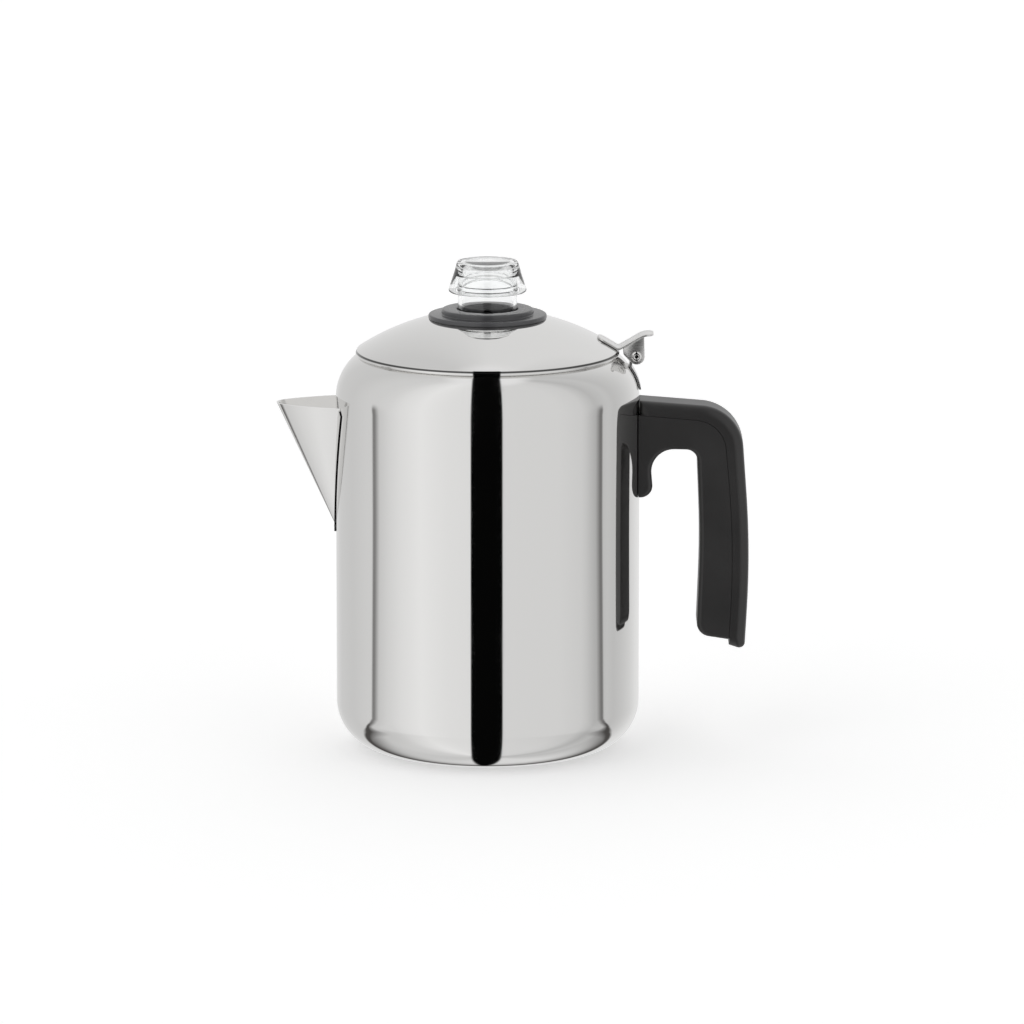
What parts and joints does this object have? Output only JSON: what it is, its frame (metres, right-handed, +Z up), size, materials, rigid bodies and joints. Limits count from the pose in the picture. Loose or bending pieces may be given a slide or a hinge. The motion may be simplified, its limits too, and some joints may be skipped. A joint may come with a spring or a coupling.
{
  "type": "coffee percolator",
  "caption": "Stovetop coffee percolator with a round steel pot, V spout, black handle, hinged domed lid with thumb lever, clear knob, pump and basket.",
  "frame": {"origin": "centre of the pot's flat base, on the surface that it stands on", "axes": "+Z up along the pot's axis, -X towards the spout, +X towards the handle and lid hinge"},
  "size_m": [0.2054, 0.132, 0.2141],
  "materials": {
    "polished_steel": "polished",
    "plain_steel": "satin",
    "pump_steel": "satin",
    "basket_steel": "satin",
    "black_phenolic": "satin",
    "black_band": "satin",
    "collar_phenolic": "matte",
    "clear_knob": "gloss"
  },
  "bodies": {
    "pot": {"pot_shell": "polished_steel", "spout": "polished_steel", "handle_bracket": "plain_steel", "handle_grip": "black_phenolic", "handle_backstrap": "black_band", "handle_screw": "plain_steel", "hinge_bracket": "polished_steel"},
    "lid": {"hinge_pin": "plain_steel", "lid_hinge_leaf": "polished_steel", "lid_dome": "polished_steel", "lid_plug_ring": "polished_steel", "knob_collar": "collar_phenolic", "collar_nut": "plain_steel"},
    "knob": {"percolator_knob": "clear_knob"},
    "pump": {"pump_tube": "pump_steel", "pump_base": "pump_steel", "valve_cage": "pump_steel", "basket_stop": "pump_steel"},
    "valve": {"valve_disc": "pump_steel"},
    "basket": {"coffee_basket": "basket_steel", "basket_sleeve": "basket_steel"},
    "spreader": {"basket_spreader": "basket_steel", "spreader_hub": "basket_steel"}
  },
  "joints": [
    {"name": "lid_hinge", "type": "hinge", "parent": "pot", "child": "lid", "pos_m": [0.0646, 0, 0.1729], "axis": [0, 1, 0], "range_deg": [0, 105]},
    {"name": "knob_turn", "type": "hinge", "parent": "lid", "child": "knob", "pos_m": [0, 0, 0.19], "axis": [0, 0, 1], "range_deg": [0, 60]},
    {"name": "pump_lift", "type": "slide", "parent": "pot", "child": "pump", "axis": [0, 0, 1], "range_m": [0, 0.008]},
    {"name": "valve_lift", "type": "slide", "parent": "pump", "child": "valve", "axis": [0, 0, 1], "range_m": [0, 0.003]},
    {"name": "basket_lift", "type": "slide", "parent": "pump", "child": "basket", "axis": [0, 0, 1], "range_m": [0, 0.005]},
    {"name": "spreader_lift", "type": "slide", "parent": "basket", "child": "spreader", "axis": [0, 0, 1], "range_m": [0, 0.004]}
  ]
}
